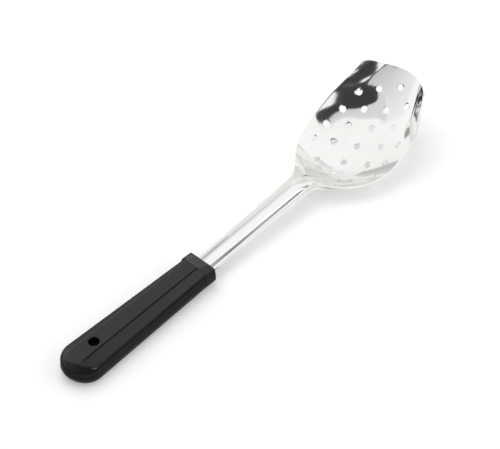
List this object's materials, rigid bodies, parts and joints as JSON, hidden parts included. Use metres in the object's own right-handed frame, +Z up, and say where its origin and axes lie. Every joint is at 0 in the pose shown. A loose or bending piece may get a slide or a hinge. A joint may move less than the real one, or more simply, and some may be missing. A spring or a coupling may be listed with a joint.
{
  "type": "slotted serving spoon",
  "caption": "Perforated stainless serving spoon with a ribbed neck and a moulded black handle that has a hanging hole.",
  "frame": {"origin": "on the surface that the spoon lies on, below the middle of its bounding box", "axes": "+X along the spoon from the butt of the handle to the tip of the bowl, +Z up out of the open bowl, +Y across"},
  "size_m": [0.3306, 0.0776, 0.0444],
  "materials": {
    "steel": "bright polished stainless steel",
    "plastic": "black moulded plastic with a satin surface"
  },
  "bodies": {
    "root": {"spoon_blade": "steel", "handle": "plastic"}
  },
  "joints": []
}
